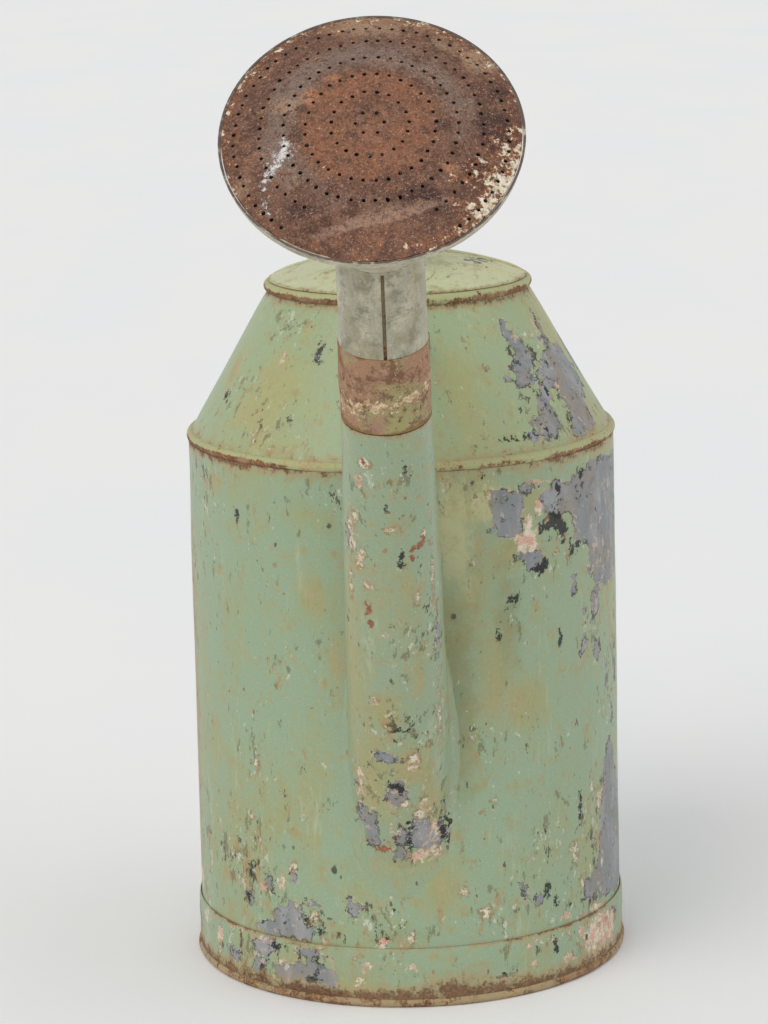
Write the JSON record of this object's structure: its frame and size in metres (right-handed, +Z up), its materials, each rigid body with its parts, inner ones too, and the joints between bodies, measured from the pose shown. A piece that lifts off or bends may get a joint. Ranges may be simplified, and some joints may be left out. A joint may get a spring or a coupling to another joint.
{
  "type": "watering can",
  "caption": "Painted sheet-metal watering can with a steep tapered spout, a push-on perforated rose and a hoop handle.",
  "frame": {"origin": "middle of the whole part's footprint box, on the floor the can stands on", "axes": "+Z up, the spout points along -Y, X across the can"},
  "size_m": [0.217, 0.4714, 0.4824],
  "materials": {
    "wall_paint": "chalky grey-green paint, flaking to bare zinc",
    "shoulder_paint": "chalky pale green paint",
    "hood_paint": "chalky pale green paint, dusty",
    "base_paint": "worn grey-green paint with tan stains",
    "spout_paint": "grey-green paint, flaking",
    "handle_paint": "grey-green paint, worn",
    "base_zinc": "dull galvanised sheet",
    "collar_zinc": "dull mottled zinc",
    "rose_zinc": "dull mottled zinc with rust",
    "rose_rust": "brown rust over grey zinc",
    "rusty_tip": "rust-stained, rough",
    "rusty_bead": "rusty, rubbed edge",
    "rusty_wire": "rusty"
  },
  "bodies": {
    "can": {"body_shell": "wall_paint", "base_plate": "base_zinc", "base_band": "base_paint", "base_bead": "rusty_bead", "shoulder_bead": "rusty_bead", "shoulder_cone": "shoulder_paint", "neck_bead": "rusty_bead", "neck_wire": "rusty_wire", "hood": "hood_paint", "hood_wire": "rusty_bead", "spout_tube": "spout_paint", "spout_saddle": "spout_paint", "spout_tip": "rusty_tip", "stay_clip": "rusty_tip", "spout_stay": "handle_paint", "handle_tube": "handle_paint", "handle_front_plate": "handle_paint", "handle_rear_plate": "handle_paint"},
    "rose_liner": {"rose_sleeve": "rusty_wire"},
    "rose": {"rose_collar": "collar_zinc", "rose_cone": "rose_zinc", "rose_rim": "rose_zinc", "rose_face": "rose_rust"}
  },
  "joints": [
    {"name": "rose_pull", "type": "slide", "parent": "can", "child": "rose_liner", "axis": [0, -0.3584, 0.9336], "range_m": [0, 0.06]},
    {"name": "rose_turn", "type": "hinge", "parent": "rose_liner", "child": "rose", "pos_m": [0, -0.13952, 0.38657], "axis": [0, -0.3584, 0.9336], "continuous": true}
  ]
}
